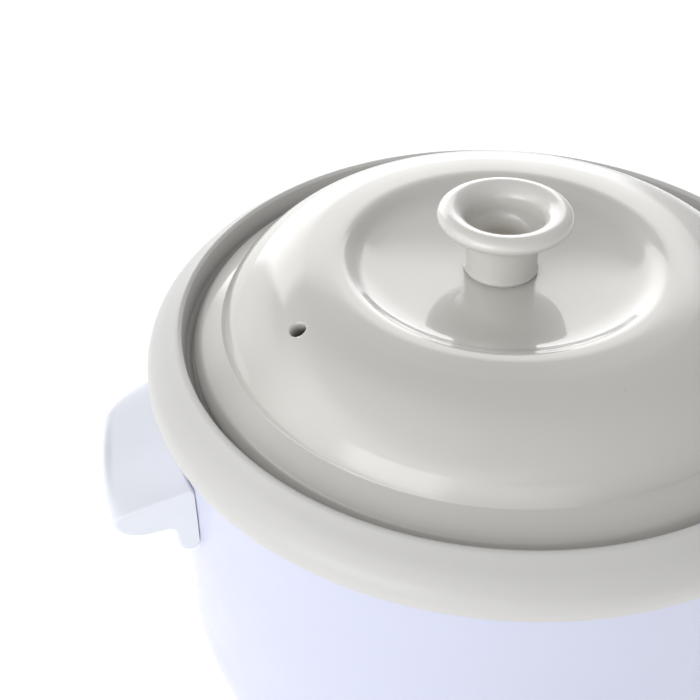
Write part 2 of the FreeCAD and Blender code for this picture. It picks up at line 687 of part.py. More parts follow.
def make_earth_tag():
    place = polar(STUD_CIRCLE, STUD_ANGLES[0])
    tag = upright(4.0, Z_FLOOR, Z_FLOOR + 0.8, place.x, place.y)
    tag = tag.fuse(block((place.x - 2, place.x + 2), (place.y, place.y + 9), (Z_FLOOR, Z_FLOOR + 0.8)))
    return tag.cut(upright(M4 + FIT, 0, 40, place.x, place.y))


# Each lead is a round wire whose route is chosen by hand; the ends meet their terminals.
LEAD = 1.2
LEADS = {
    "lead_live": [(-7, 108, 34), (-7, 98, 34), (-11, 84, 28), (-14, 74, 17), (-14, 64, 17)],
    "lead_neutral": [(7, 108, 34), (7, 98, 34), (11, 84, 28), (14, 74, 17), (14, 64, 17)],
    "lead_earth": [(0, 108, 38), (0, 98, 38), (20, 82, 34), (42, 66, 24), (53.7, 52, 14), (53.7, 40, 14)],
    "lead_switch": [(-14, 50, 17), (-14, 36, 17), (-26, 0, 22), (-18, -44, 28), (-8, -76, 31), (-8, -91, 31)],
    "lead_heater_switched": [(0, -91, 31), (0, -80, 31), (18, -70, 33), (40, -76, 42), (54, -91, 50),
                             (57, -98.73, 62), (57, -98.73, 76)],
    "lead_heater_return": [(14, 50, 17), (14, 36, 17), (30, 2, 22), (50, -32, 30), (60, -66, 40),
                           (66.5, -87, 50), (67, -92.22, 62), (67, -92.22, 76)],
}


def make_lead(route):
    """Straight runs joined by tangent arcs, each as large as its two runs allow."""
    points = [V(*place) for place in route]
    edges = []
    here = points[0]
    for before, corner, after in zip(points, points[1:], points[2:]):
        back = (before - corner)
        ahead = (after - corner)
        reach = 0.45 * min(back.Length, ahead.Length)
        back.normalize()
        ahead.normalize()
        start = corner + back * reach
        end = corner + ahead * reach
        half_turn = (math.pi - back.getAngle(ahead)) / 2
        radius = reach / math.tan(half_turn)
        middle = (back + ahead)
        middle.normalize()
        mid = corner + middle * (radius / math.cos(half_turn) - radius)
        edges.append(Part.LineSegment(here, start).toShape())
        edges.append(Part.Arc(start, mid, end).toShape())
        here = end
    edges.append(Part.LineSegment(here, points[-1]).toShape())
    path = Part.Wire(edges)
    section = Part.Wire(Part.makeCircle(LEAD, points[0], points[1] - points[0]))
    tube = path.makePipeShell([section], True, False)
    ideal = math.pi * LEAD ** 2 * path.Length
    print("   lead length %.1f, volume over ideal %.4f" % (path.Length, tube.Volume / ideal))
    return tube


# ---- write every node ------------------------------------------------------------------------------
def main():
    seal, washer, screw = make_lid_fittings()
    save("pot", make_pot())
    save("lid", make_lid())
    save("lid_knob", make_lid_knob())
    save("knob_seal", seal)
    save("knob_washer", washer)
    save("knob_screw", screw)
    save("housing", make_housing())
    save("well", make_well())
    save("top_ring", make_top_ring())
    save("bottom_cover", make_bottom_cover())
    save("cover_screws", make_cover_screws())
    for name, angle in FOOT_ANGLES.items():
        save("foot_" + name, make_foot(angle))
    save("foot_screws", make_foot_screws())
    save("well_studs", make_well_studs())
    save("stud_nuts", make_stud_nuts())
    save("band_heater", make_band_heater())
    save("clamp_bolt", make_clamp_bolt())
    save("clamp_nut", make_clamp_nut())
    save("insulation", make_insulation())
    save("left_handle", make_handle(-1))
    save("right_handle", make_handle(1))
    save("handle_screws", make_handle_screws())
    save("control_panel", make_control_panel())
    save("panel_screws", make_panel_screws())
    save("dial_scale", make_dial_scale())
    save("lamp_lens", make_lamp_lens())
    save("indicator_lamp", make_indicator_lamp())
    save("rotary_switch", make_rotary_switch())
    save("switch_nut", make_switch_nut())
    save("switch_shaft", make_switch_shaft())
    save("control_knob", make_control_knob())
    save("dial_pointer", make_dial_pointer())
    save("knob_clip", make_knob_clip())
    save("inlet_housing", make_inlet_housing())
    save("inlet_socket", make_inlet_socket())
    save("inlet_pins", make_inlet_pins())
    save("inlet_screws", make_inlet_screws())
    save("terminal_block", make_terminal_block())
    save("terminal_screws", make_terminal_screws())
    save("thermostat", make_thermostat())
    save("thermostat_clip", make_thermostat_clip())
    save("thermal_fuse", make_thermal_fuse())
    save("fuse_clip", make_fuse_clip())
    save("earth_tag", make_earth_tag())
    for name, route in LEADS.items():
        save(name, make_lead(route))


main()
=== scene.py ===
import math

import bmesh
import bpy
from mathutils import Matrix, Vector


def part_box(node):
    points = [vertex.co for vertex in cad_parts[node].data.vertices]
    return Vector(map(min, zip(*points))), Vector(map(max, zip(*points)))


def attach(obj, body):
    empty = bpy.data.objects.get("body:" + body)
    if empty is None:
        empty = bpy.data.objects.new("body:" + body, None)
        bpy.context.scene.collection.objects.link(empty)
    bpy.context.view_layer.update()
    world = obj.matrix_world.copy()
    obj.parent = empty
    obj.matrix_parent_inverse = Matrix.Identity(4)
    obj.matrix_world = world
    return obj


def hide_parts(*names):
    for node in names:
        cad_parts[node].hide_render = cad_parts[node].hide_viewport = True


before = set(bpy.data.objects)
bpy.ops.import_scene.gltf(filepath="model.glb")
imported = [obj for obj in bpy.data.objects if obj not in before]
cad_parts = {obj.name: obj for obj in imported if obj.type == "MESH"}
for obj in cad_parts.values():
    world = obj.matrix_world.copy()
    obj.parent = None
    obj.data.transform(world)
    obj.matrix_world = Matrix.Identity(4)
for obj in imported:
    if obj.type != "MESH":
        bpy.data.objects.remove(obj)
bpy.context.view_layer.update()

MM = 0.001

POT_LOW, POT_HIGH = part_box("pot")
LIP = POT_HIGH.z                      # crest of the pot's lip, the height that the camera is set from


# ---- camera --------------------------------------------------------------------------------
CAMERA_AZIMUTH = -111.0               # degrees, from the X axis
CAMERA_REACH = 0.2881                 # from the pot's axis, level
CAMERA_RISE = 0.2081                  # above the lip
CAMERA_AIM = Vector((-0.0576, -0.0161, LIP))
CAMERA_ROLL = -1.77                   # degrees


def make_camera():
    data = bpy.data.cameras.new("camera")
    data.lens = 50.0
    data.sensor_width = 36.0
    data.clip_start = 0.01
    camera = bpy.data.objects.new("camera", data)
    bpy.context.scene.collection.objects.link(camera)
    turn = math.radians(CAMERA_AZIMUTH)
    place = Vector((CAMERA_REACH * math.cos(turn), CAMERA_REACH * math.sin(turn), LIP + CAMERA_RISE))
    look = (CAMERA_AIM - place).to_track_quat("-Z", "Y").to_matrix().to_4x4()
    roll = Matrix.Rotation(math.radians(CAMERA_ROLL), 4, "Z")
    camera.matrix_world = Matrix.Translation(place) @ look @ roll
    bpy.context.scene.camera = camera


make_camera()


# ---- lines and meshes, in millimetres --------------------------------------------------------
def smooth(points, steps=10):
    """A Catmull-Rom curve through the points, as a list of points."""
    before_first = [2 * a - b for a, b in zip(points[0], points[1])]
    after_last = [2 * a - b for a, b in zip(points[-1], points[-2])]
    line = [before_first] + [list(p) for p in points] + [after_last]
    found = []
    for before, here, there, after in zip(line, line[1:], line[2:], line[3:]):
        for step in range(steps):
            t = step / steps
            found.append(tuple(
                0.5 * (2 * h + (n - b) * t + (2 * b - 5 * h + 4 * n - a) * t ** 2
                       + (3 * h - b - 3 * n + a) * t ** 3)
                for b, h, n, a in zip(before, here, there, after)))
    return found + [tuple(points[-1])]


def rounded(corners, steps=6):
    """A polyline whose corners (u, v, radius) are rounded; radius 0 keeps a corner sharp."""
    found = []
    for index, (u, v, radius) in enumerate(corners):
        here = Vector((u, v))
        if radius <= 0 or index in (0, len(corners) - 1):
            found.append((u, v))
            continue
        back = Vector(corners[index - 1][:2]) - here
        ahead = Vector(corners[index + 1][:2]) - here
        half = back.angle(ahead) / 2
        reach = min(radius / math.tan(half), back.length * 0.49, ahead.length * 0.49)
        radius = reach * math.tan(half)
        centre = here + (back.normalized() + ahead.normalized()).normalized() * (radius / math.sin(half))
        start = here + back.normalized() * reach - centre
        end = here + ahead.normalized() * reach - centre
        sweep = -start.angle_signed(end)
        for step in range(steps + 1):
            spot = centre + Matrix.Rotation(sweep * step / steps, 2) @ start
            found.append((spot.x, spot.y))
    return found


def above_lip(points):
    return [(r, z + LIP / MM) for r, z in points]


def between(value, start, end):
    """0 before start, 1 after end, and smooth between."""
    t = min(max((value - start) / (end - start), 0.0), 1.0)
    return t * t * (3 - 2 * t)


def loft(name, rings, closed=False, caps=(False, False)):
    """Joins rings of equal length, each a list of (x, y, z) in millimetres or one pole point."""
    mesh = bmesh.new()
    rows = [[mesh.verts.new(Vector(point) * MM) for point in ring] for ring in rings]
    pairs = list(zip(rows, rows[1:]))
    if closed:
        pairs.append((rows[-1], rows[0]))
    for low, high in pairs:
        count = max(len(low), len(high))
        for step in range(count):
            after = (step + 1) % count
            if len(low) == 1:
                mesh.faces.new((low[0], high[after], high[step]))
            elif len(high) == 1:
                mesh.faces.new((low[step], low[after], high[0]))
            else:
                mesh.faces.new((low[step], low[after], high[after], high[step]))
    for wanted, row in zip(caps, (rows[0], rows[-1])):
        if wanted:
            mesh.faces.new(row)
    bmesh.ops.recalc_face_normals(mesh, faces=mesh.faces)
    data = bpy.data.meshes.new(name)
    mesh.to_mesh(data)
    mesh.free()
    for polygon in data.polygons:
        polygon.use_smooth = len(polygon.vertices) <= 4
    return data


def lathe(name, profile, segments=256, closed=False, ripple=None, along="Z", centre=(0.0, 0.0)):
    """Turns (r, height) about an upright axis, or about a -Y axis at (x, z) centre."""
    rings = []
    for r, height in profile:
        ring = []
        for step in range(1 if r < 1e-6 else segments):
            turn = 2 * math.pi * step / segments
            reach = r * (ripple(turn, r, height) if ripple else 1.0)
            u, v = reach * math.cos(turn), reach * math.sin(turn)
            if along == "Z":
                ring.append((centre[0] + u, centre[1] + v, height))
            else:
                ring.append((centre[0] + u, -height, centre[1] + v))
        rings.append(ring)
    return loft(name, rings, closed)


def piece(data, body, slot, *replaced):
    """Puts a mesh in the scene as a piece of the model, with its slot's material."""
    thing = bpy.data.objects.new(data.name, data)
    bpy.context.scene.collection.objects.link(thing)
    data.materials.append(MATERIALS[slot])
    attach(thing, body)
    if replaced:
        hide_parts(*replaced)
    return thing


# ---- materials ------------------------------------------------------------------------------
class Nodes:
    """A short way to write a node material on object coordinates."""

    def __init__(self, name):
        self.material = bpy.data.materials.new(name)
        self.material.use_nodes = True
        self.tree = self.material.node_tree
        self.shader = self.tree.nodes["Principled BSDF"]
        self.place = self.add("ShaderNodeTexCoord").outputs["Object"]

    def add(self, kind, **values):
        node = self.tree.nodes.new(kind)
        for key, value in values.items():
            setattr(node, key, value)
        return node

    def link(self, start, end):
        self.tree.links.new(start, self.shader.inputs[end] if isinstance(end, str) else end)

    def set(self, **values):
        for key, value in values.items():
            self.shader.inputs[key.replace("_", " ")].default_value = value

    def stretched(self, scale):
        mapping = self.add("ShaderNodeMapping")
        mapping.inputs["Scale"].default_value = scale
        self.link(self.place, mapping.inputs["Vector"])
        return mapping.outputs["Vector"]

    def noise(self, scale, detail=3.0, rough=0.5, stretch=None):
        node = self.add("ShaderNodeTexNoise")
        node.inputs["Scale"].default_value = scale
        node.inputs["Detail"].default_value = detail
        node.inputs["Roughness"].default_value = rough
        self.link(self.stretched(stretch) if stretch else self.place, node.inputs["Vector"])
        return node.outputs["Fac"]

    def wave(self, scale, direction, distort=0.0):
        node = self.add("ShaderNodeTexWave", bands_direction=direction)
        node.inputs["Scale"].default_value = scale
        node.inputs["Distortion"].default_value = distort
        self.link(self.place, node.inputs["Vector"])
        return node.outputs["Fac"]

    def spread(self, value, low, high, out_low=0.0, out_high=1.0):
        node = self.add("ShaderNodeMapRange", interpolation_type="SMOOTHSTEP")
        self.link(value, node.inputs["Value"])
        for key, number in (("From Min", low), ("From Max", high), ("To Min", out_low), ("To Max", out_high)):
            node.inputs[key].default_value = number
        return node.outputs["Result"]

    def mix(self, factor, first, second):
        node = self.add("ShaderNodeMix", data_type="RGBA")
        self.link(factor, node.inputs["Factor"])
        for socket, colour in ((node.inputs[6], first), (node.inputs[7], second)):
            if isinstance(colour, tuple):
                socket.default_value = (*colour, 1.0)
            else:
                self.link(colour, socket)
        return node.outputs[2]

    def bump(self, height, strength, distance, before=None):
        node = self.add("ShaderNodeBump")
        node.inputs["Strength"].default_value = strength
        node.inputs["Distance"].default_value = distance
        self.link(height, node.inputs["Height"])
        if before:
            self.link(before, node.inputs["Normal"])
        return node.outputs["Normal"]

    def surface(self, colour, shade, tone_scale, rough, rough_scale):
        """Colour and roughness that drift slowly over the surface."""
        self.link(self.mix(self.spread(self.noise(tone_scale, 4.0), 0.3, 0.7), shade, colour), "Base Color")
        drift = self.spread(self.noise(rough_scale, 3.0), 0.2, 0.8, rough * 0.85, rough * 1.15)
        self.link(drift, "Roughness")


def toned(colour, factor):
    return tuple(part * factor for part in colour)


SPECK = (0.42, 0.40, 0.36)
HOLLOW_SHADE_PAINT = (0.33, 0.30, 0.25)           # painted shade: the darkened colour in the knob's hollow
PAINTED_SHADE_REACH = (0.0065, 0.0125)         # metres from the painted shade's centre, where it starts and ends fading
# centre of the painted shade in the knob's hollow
KNOB_SHADE_CENTRE = (0.0, 0.0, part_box("lid_knob")[0].z + 0.0145)


def glaze(name, colour, rough, coat, peel, shade_centre=None):
    """Glazed stoneware: slow drift of tone, iron specks, orange peel, and painted shade darkening the colour
    round a point.
    """
    n = Nodes(name)
    drift = n.spread(n.noise(16.0, 5.0), 0.3, 0.7)
    body = n.mix(drift, toned(colour, 0.975), colour)
    # painted shade: the colour darkens towards the given point, as if the hollow were shaded
    if shade_centre:
        away = n.add("ShaderNodeVectorMath", operation="DISTANCE")
        away.inputs[1].default_value = shade_centre
        n.link(n.place, away.inputs[0])
        body = n.mix(n.spread(away.outputs["Value"], *PAINTED_SHADE_REACH), HOLLOW_SHADE_PAINT, body)
    n.link(n.mix(n.spread(n.noise(1100.0, 1.0), 0.80, 0.83), body, SPECK), "Base Color")
    n.link(n.spread(n.noise(45.0, 4.0), 0.2, 0.8, rough * 0.85, rough * 1.15), "Roughness")
    slow = n.bump(n.noise(70.0, 2.0), peel, 0.0005)
    n.link(n.bump(n.noise(650.0, 2.0), peel * 0.5, 0.0001, slow), "Normal")
    n.set(Coat_Weight=coat, Coat_Roughness=0.04, Coat_IOR=1.6, IOR=1.5)
    return n.material


def plastic(name, colour, rough, grain=0.08, scale=1800.0, **more):
    n = Nodes(name)
    n.surface(colour, toned(colour, 0.97), 25.0, rough, 90.0)
    n.link(n.bump(n.noise(scale, 2.0), grain, 0.00012), "Normal")
    n.set(IOR=1.49, **more)
    return n.material


def paint(name, colour, rough, coat):
    """Sprayed and baked paint with a faint orange peel."""
    n = Nodes(name)
    n.surface(colour, toned(colour, 0.985), 12.0, rough, 70.0)
    n.link(n.bump(n.noise(420.0, 2.0), 0.05, 0.0002), "Normal")
    n.set(Coat_Weight=coat, Coat_Roughness=0.06)
    return n.material


def metal(name, colour, rough, stretch=None, scale=300.0, bump=0.06):
    n = Nodes(name)
    grain = n.noise(scale, 4.0, 0.6, stretch)
    n.link(n.mix(n.spread(grain, 0.3, 0.7), toned(colour, 0.86), colour), "Base Color")
    n.link(n.spread(grain, 0.2, 0.8, rough * 0.7, rough * 1.3), "Roughness")
    n.link(n.bump(grain, bump, 0.0001), "Normal")
    n.set(Metallic=1.0)
    return n.material


def felt(name, colour, scale):
    """Needled or braided fibre."""
    n = Nodes(name)
    fibre = n.noise(scale, 6.0, 0.7)
    n.link(n.mix(n.spread(fibre, 0.35, 0.65), toned(colour, 0.72), colour), "Base Color")
    n.link(n.bump(fibre, 0.6, 0.0008), "Normal")
    n.set(Roughness=0.95, Sheen_Weight=0.3)
    return n.material


def sleeve(name, colour):
    """A lead's woven glass sleeve."""
    n = Nodes(name)
    weave = n.wave(700.0, "DIAGONAL", 1.5)
    n.link(n.mix(weave, toned(colour, 0.7), colour), "Base Color")
    n.link(n.bump(weave, 0.3, 0.0002), "Normal")
    n.set(Roughness=0.6)
    return n.material


def lens(name, colour):
    n = Nodes(name)
    n.surface(colour, toned(colour, 0.9), 200.0, 0.12, 300.0)
    n.link(n.bump(n.wave(900.0, "X"), 0.15, 0.0001), "Normal")
    n.set(Transmission_Weight=0.55, IOR=1.49)
    return n.material


MATERIALS = {
    "lid_glaze": glaze("lid_glaze", (0.555, 0.543, 0.512), 0.34, 1.0, 0.03),
    "pot_glaze": glaze("pot_glaze", (0.585, 0.58, 0.568), 0.36, 0.15, 0.06),
    "knob_glaze": glaze("knob_glaze", (0.63, 0.615, 0.583), 0.34, 1.0, 0.03, shade_centre=KNOB_SHADE_CENTRE),
    "white_paint": paint("white_paint", (0.575, 0.60, 0.745), 0.38, 0.5),
    "white_plastic": plastic("white_plastic", (0.765, 0.79, 0.845), 0.34),
    "silicone": plastic("silicone", (0.62, 0.62, 0.60), 0.55),
    "foot_rubber": plastic("foot_rubber", (0.055, 0.055, 0.058), 0.75, 0.25, 900.0),
    "black_plastic": plastic("black_plastic", (0.03, 0.03, 0.032), 0.45, 0.2, 1500.0),
    "terminal_plastic": plastic("terminal_plastic", (0.75, 0.73, 0.66), 0.5),
    "grey_mark": plastic("grey_mark", (0.13, 0.13, 0.14), 0.5),
    "thermostat_body": plastic("thermostat_body", (0.42, 0.32, 0.22), 0.35),
    "lamp_lens": lens("lamp_lens", (0.85, 0.22, 0.08)),
    "lamp_glass": lens("lamp_glass", (0.9, 0.75, 0.6)),
    "well_metal": metal("well_metal", (0.78, 0.78, 0.78), 0.32, (1.0, 1.0, 12.0), 160.0),
    "bright_steel": metal("bright_steel", (0.70, 0.69, 0.67), 0.28),
    "brass": metal("brass", (0.78, 0.60, 0.32), 0.25),
    "cover_metal": paint("cover_metal", (0.74, 0.75, 0.79), 0.4, 0.0),
    "heater_band": felt("heater_band", (0.68, 0.60, 0.44), 900.0),
    "glass_wool": felt("glass_wool", (0.74, 0.71, 0.58), 350.0),
    "lead_live_cover": sleeve("lead_live_cover", (0.22, 0.09, 0.04)),
    "lead_neutral_cover": sleeve("lead_neutral_cover", (0.04, 0.12, 0.42)),
    "lead_earth_cover": sleeve("lead_earth_cover", (0.18, 0.42, 0.08)),
}


def dress_cad_nodes():
    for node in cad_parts.values():
        for place in node.material_slots:
            name = place.material.name.split(".")[0]
            place.material = MATERIALS[name]


dress_cad_nodes()


# ---- lid ------------------------------------------------------------------------------------
VENT_AZIMUTH = math.radians(-162.5)
VENT_REACH = 79.5
VENT_TILT = math.radians(22.0)
VENT_BORE = 2.55                      # radius
VENT_FLARE = 0.75                     # how much wider the bore is at its mouth
VENT_FLARE_DEPTH = 1.6
VENT_MOUTH = 18.02                    # height of the mouth above the lip
VENT_LOW, VENT_HIGH = -14.0, 6.0      # ends of the cutter, from the mouth


def lid_profile():
    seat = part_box("lid")[0].z / MM + 3.6 - LIP / MM
    top = smooth([(0.0, 14.0), (14.0, 14.15), (24.0, 14.5), (33.0, 15.0), (40.0, 15.55), (44.5, 16.05),
                  (48.0, 16.75), (50.4, 17.6), (52.4, 18.7), (54.0, 19.6), (55.6, 20.2), (57.5, 20.45),
                  (61.0, 20.6), (66.0, 20.6), (70.0, 20.4), (75.0, 19.5), (80.0, 17.9), (85.0, 15.2),
                  (90.0, 11.4), (95.0, 6.5), (98.2, 2.0)], 8)
    flange = rounded([(98.2, 2.0, 0), (99.4, -0.6, 1.2), (107.6, -4.6, 6.0), (110.5, -8.0, 3.0),
                      (109.6, seat, 1.2), (101.0, seat, 0.6), (99.4, seat - 3.6, 1.0),
                      (95.8, seat - 3.6, 1.4), (93.2, seat + 2.0, 2.5), (92.8, -2.0, 0)])
    under = smooth([(92.8, -2.0), (89.0, 3.4), (83.0, 9.2), (76.0, 12.7), (68.0, 14.4), (61.0, 14.5),
                    (56.0, 13.8), (51.5, 10.9), (44.0, 9.0), (36.0, 8.3), (0.0, 8.3)], 8)
    return above_lip(top + flange[1:] + under[1:])


def subtract(target, data):
    """Cuts a closed mesh out of a piece."""
    cutter = bpy.data.objects.new("cutter", data)
    bpy.context.scene.collection.objects.link(cutter)
    cut = target.modifiers.new("cut", "BOOLEAN")
    cut.operation = "DIFFERENCE"
    cut.solver = "EXACT"
    cut.object = cutter
    bpy.context.view_layer.update()
    ready = bpy.context.evaluated_depsgraph_get()
    target.data = bpy.data.meshes.new_from_object(target.evaluated_get(ready))
    target.modifiers.clear()
    bpy.data.objects.remove(cutter)


def cut_vent(lid):
    """Cuts the steam vent, a bore that opens out at the top like a trumpet."""
    flare = [(VENT_BORE, VENT_LOW), (VENT_BORE, -VENT_FLARE_DEPTH)]
    for step in range(1, 9):
        turn = math.pi / 2 * step / 8
        flare.append((VENT_BORE + VENT_FLARE * (1 - math.cos(turn)),
                      -VENT_FLARE_DEPTH + VENT_FLARE_DEPTH * math.sin(turn)))
    flare += [(VENT_BORE + 1.0, 0.5), (VENT_BORE + 1.0, VENT_HIGH)]
    data = lathe("vent_cutter", [(0.0, VENT_LOW)] + flare + [(0.0, VENT_HIGH)], 48)
    x, y = VENT_REACH * math.cos(VENT_AZIMUTH), VENT_REACH * math.sin(VENT_AZIMUTH)
    place = Matrix.Translation(Vector((x, y, LIP / MM + VENT_MOUTH)) * MM)
    turned = Matrix.Rotation(VENT_AZIMUTH, 4, "Z") @ Matrix.Rotation(VENT_TILT, 4, "Y")
    data.transform(place @ turned)
    subtract(lid, data)


def make_lid():
    cut_vent(piece(lathe("lid_shell", lid_profile(), 360), "lid", "lid_glaze", "lid"))


def make_knob():
    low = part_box("lid_knob")[0].z / MM - LIP / MM
    foot = [(0.0, low), (12.4, low), (12.9, low + 0.15)]
    stem = smooth([(13.05, low + 0.5), (12.75, low + 1.6), (12.5, low + 4.0), (12.4, low + 8.0),
                   (12.6, low + 11.5), (13.4, low + 13.6), (15.2, low + 15.2)], 6)
    ring = smooth([(15.2, low + 15.2), (17.6, low + 16.2), (20.4, low + 17.6), (22.4, low + 19.0),
                   (23.1, low + 20.7), (22.4, low + 22.5), (20.9, low + 23.5), (18.9, low + 23.85),
                   (16.6, low + 23.3), (14.8, low + 22.1), (13.5, low + 20.2), (12.8, low + 17.6),
                   (12.1, low + 14.6), (10.4, low + 12.0), (7.4, low + 10.7), (0.0, low + 10.4)], 8)
    piece(lathe("knob_ring", above_lip(foot + stem + ring[1:]), 192), "lid", "knob_glaze", "lid_knob")


# ---- pot ------------------------------------------------------------------------------------
RIM_UNDER = -16.7                     # the rim's underside, from the lip
LEDGE = -11.3                         # the ledge that carries the lid
POT_FLOOR = -121.5


def make_pot():
    base = POT_LOW.z / MM - LIP / MM
    outside = rounded([(0.0, base + 1.0, 0), (82.0, base + 1.0, 0.8), (84.0, base, 0.8), (90.0, base, 3.0),
                       (104.4, base + 14.0, 9.0), (108.3, RIM_UNDER - 3.0, 2.0), (110.5, RIM_UNDER, 1.2),
                       (125.2, RIM_UNDER, 1.5), (127.3, RIM_UNDER + 2.6, 0)], 8)
    rim = smooth([(127.3, RIM_UNDER + 2.6), (126.9, RIM_UNDER + 5.4), (125.2, RIM_UNDER + 8.6),
                  (121.6, RIM_UNDER + 12.2), (117.8, RIM_UNDER + 15.0), (115.9, RIM_UNDER + 16.4)], 7)
    inside = rounded([(115.9, RIM_UNDER + 16.4, 0), (114.9, 0.0, 0.9), (113.6, -0.9, 0.9),
                      (112.9, -9.2, 2.0), (111.0, LEDGE, 0.8), (103.0, LEDGE, 1.4),
                      (101.4, LEDGE - 2.5, 1.5), (97.6, -105.5, 14.0),
                      (82.0, POT_FLOOR, 8.0), (0.0, POT_FLOOR, 0)], 8)
    piece(lathe("pot_bowl", above_lip(outside + rim[1:] + inside[1:]), 320), "pot", "pot_glaze", "pot")


# ---- shell ----------------------------------------------------------------------------------
SHELL_LOW, SHELL_HIGH = (corner.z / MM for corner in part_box("housing"))
SHELL_LINE = smooth([(104.0, 0.0), (108.5, 2.9), (114.0, 8.6), (118.6, 16.0), (122.0, 25.0), (124.2, 35.0),
                     (124.7, 46.0), (124.0, 58.0), (122.8, 92.0), (121.5, 125.0), (120.8, 152.0)], 8)
SHEET = 0.9                           # thickness of the shell's metal


def shell_radius(z):
    """The shell's outer radius at a height."""
    rise = z - SHELL_LOW
    for (r_low, low), (r_high, high) in zip(SHELL_LINE, SHELL_LINE[1:]):
        if rise <= high:
            return r_low + (r_high - r_low) * (rise - low) / (high - low)
    return SHELL_LINE[-1][0]


def make_shell():
    outside = [(r, z + SHELL_LOW) for r, z in SHELL_LINE]
    top = SHELL_HIGH
    mouth = rounded([(120.8, outside[-1][1], 0), (120.7, top, 2.4), (113.2, top, 0.3),
                     (113.2, top - SHEET, 0.3), (119.8, top - SHEET, 1.6), (119.8, top - 4.0, 0)])
    inside = [(r - SHEET, z) for r, z in reversed(outside[:-1])]
    base = [(103.0, SHELL_LOW + SHEET), (95.0, SHELL_LOW + SHEET), (95.0, SHELL_LOW)]
    data = lathe("shell_skin", outside + mouth[1:] + inside + base, 288, closed=True)
    shell = piece(data, "base", "white_paint", "housing")
    bore_for_dial(shell, "switch_shaft")


# ---- handles --------------------------------------------------------------------------------
HANDLE_FRONT = 5.0                    # corner radius of the front end, seen from above
HANDLE_BACK = 20.0
HANDLE_EDGE = 1.0                     # rounding of the end faces' edges
HANDLE_CAP = 0.4                      # how much further in the flat of an end face starts
HANDLE_ZERO = 0.6                     # height of the section's zero above the node's top
HANDLE_WALL = 122.6                   # points of the section inside this radius lie on the shell
HANDLE_ROOT = 130.0                   # the plan's corners are rounded outside this radius
HANDLE_HEART = (124.0, -12.0)         # point of the section that its end faces are fanned from
SCOOP = 140.0                         # radius of the hollow along the handle's top
SCOOP_BLEND = 1.2
SCOOP_FLOOR = -8.8                    # the hollow has faded out at this height


def handle_loop():
    """The handle's section as (r, drop, drop in the finger hollow), round from the wall."""
    top = smooth([(121.4, 0.2), (126.0, -1.0), (130.5, -2.3), (136.3, -3.9), (142.1, -5.6), (145.6, -6.8),
                  (148.2, -8.6), (149.35, -11.0), (148.6, -14.2), (146.4, -16.8)], 4)
    under = smooth([(146.4, -16.8), (143.8, -18.0), (141.0, -18.6), (138.7, -18.8), (134.4, -18.2),
                    (131.6, -17.9)], 4)
    leg = smooth([(131.6, -17.9), (130.2, -18.9), (129.8, -21.0), (129.6, -26.0), (128.4, -29.0),
                  (126.0, -30.1), (123.8, -29.3), (122.5, -27.0)], 4)
    wall = [(122.2, -22.0), (121.9, -16.0), (121.7, -10.0)]
    loop = []
    for r, drop in top + under[1:] + leg[1:] + wall:
        hollow = drop
        if 131.0 < r < 145.0 and drop < -15.0:
            depth = between(r, 132.2, 134.6) * (1 - between(r, 141.6, 144.2))
            hollow = drop + depth * 5.2
        loop.append((r, drop, hollow))
    return loop


def end_rounding(inner, half):
    """Stations (distance from the middle, inset) round one end of a handle, outwards."""
    found = []
    for step in range(7):
        turn = math.pi / 2 * step / 6
        found.append((inner + HANDLE_EDGE * math.sin(turn), HANDLE_EDGE * (1 - math.cos(turn))))
    return found + [(half, HANDLE_EDGE + HANDLE_CAP)]


def make_handle(name, node, side):
    low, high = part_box(node)
    half = high.y / MM
    reach = max(abs(low.x), abs(high.x)) / MM
    top = high.z / MM + HANDLE_ZERO
    loop = handle_loop()
    inner = half - HANDLE_EDGE
    count = 72
    end = end_rounding(inner, half)
    stations = [(-y, inset) for y, inset in reversed(end)]
    stations += [(-inner + 2 * inner * step / count, 0.0) for step in range(1, count)]
    stations += end
    rings = []
    for y, inset in stations:
        corner = HANDLE_FRONT if y < 0 else HANDLE_BACK
        into = max(abs(y) - (half - corner), 0.0)
        pull = corner - math.sqrt(max(corner ** 2 - into ** 2, 0.0))
        nose = math.sqrt(reach ** 2 - y * y)
        limit = min(nose, reach - pull)
        root = math.sqrt(HANDLE_ROOT ** 2 - y * y)
        scoop_rise = SCOOP - math.sqrt(SCOOP ** 2 - y * y)
        open_here = between(y, -25.5, -21.5) * (1 - between(y, 17.5, 21.5))
        ring = []
        for r, drop, hollow in loop:
            x = math.sqrt(r * r - y * y)
            if x > root:
                x = root + (x - root) * (limit - root) / (nose - root)
            fall = drop + (hollow - drop) * open_here
            scoop = -3.0 - 0.19 * (x - 117.0) + scoop_rise
            if fall > SCOOP_FLOOR:
                over = SCOOP_BLEND * math.log1p(math.exp((fall - scoop) / SCOOP_BLEND))
                fall -= over * between(fall, SCOOP_FLOOR, -6.5)
            ring.append((x, top + fall))
        if inset > 0:
            moved = shrunk(ring, inset)
            ring = [(old[0] if row[0] < HANDLE_WALL else new[0], new[1])
                    for row, old, new in zip(loop, ring, moved)]
        rings.append([(side * x, y, z) for x, z in ring])
    heart = side * math.sqrt(HANDLE_HEART[0] ** 2 - half ** 2)
    ends = [[(heart, y, top + HANDLE_HEART[1])] for y in (-half, half)]
    rings = ends[:1] + rings + ends[1:]
    piece(loft(name, rings), "base", "white_plastic", node)


def shrunk(ring, inset):
    """A closed outline moved inwards by inset."""
    area = sum(a[0] * b[1] - b[0] * a[1] for a, b in zip(ring, ring[1:] + ring[:1]))
    turn = 1.0 if area > 0 else -1.0
    moved = []
    for before, here, after in zip(ring[-1:] + ring[:-1], ring, ring[1:] + ring[:1]):
        first = Vector((here[0] - before[0], here[1] - before[1])).normalized()
        second = Vector((after[0] - here[0], after[1] - here[1])).normalized()
        along = (first + second).normalized()
        reach = inset / max(along.dot(first), 0.6)
        moved.append((here[0] - turn * along.y * reach, here[1] + turn * along.x * reach))
    return moved


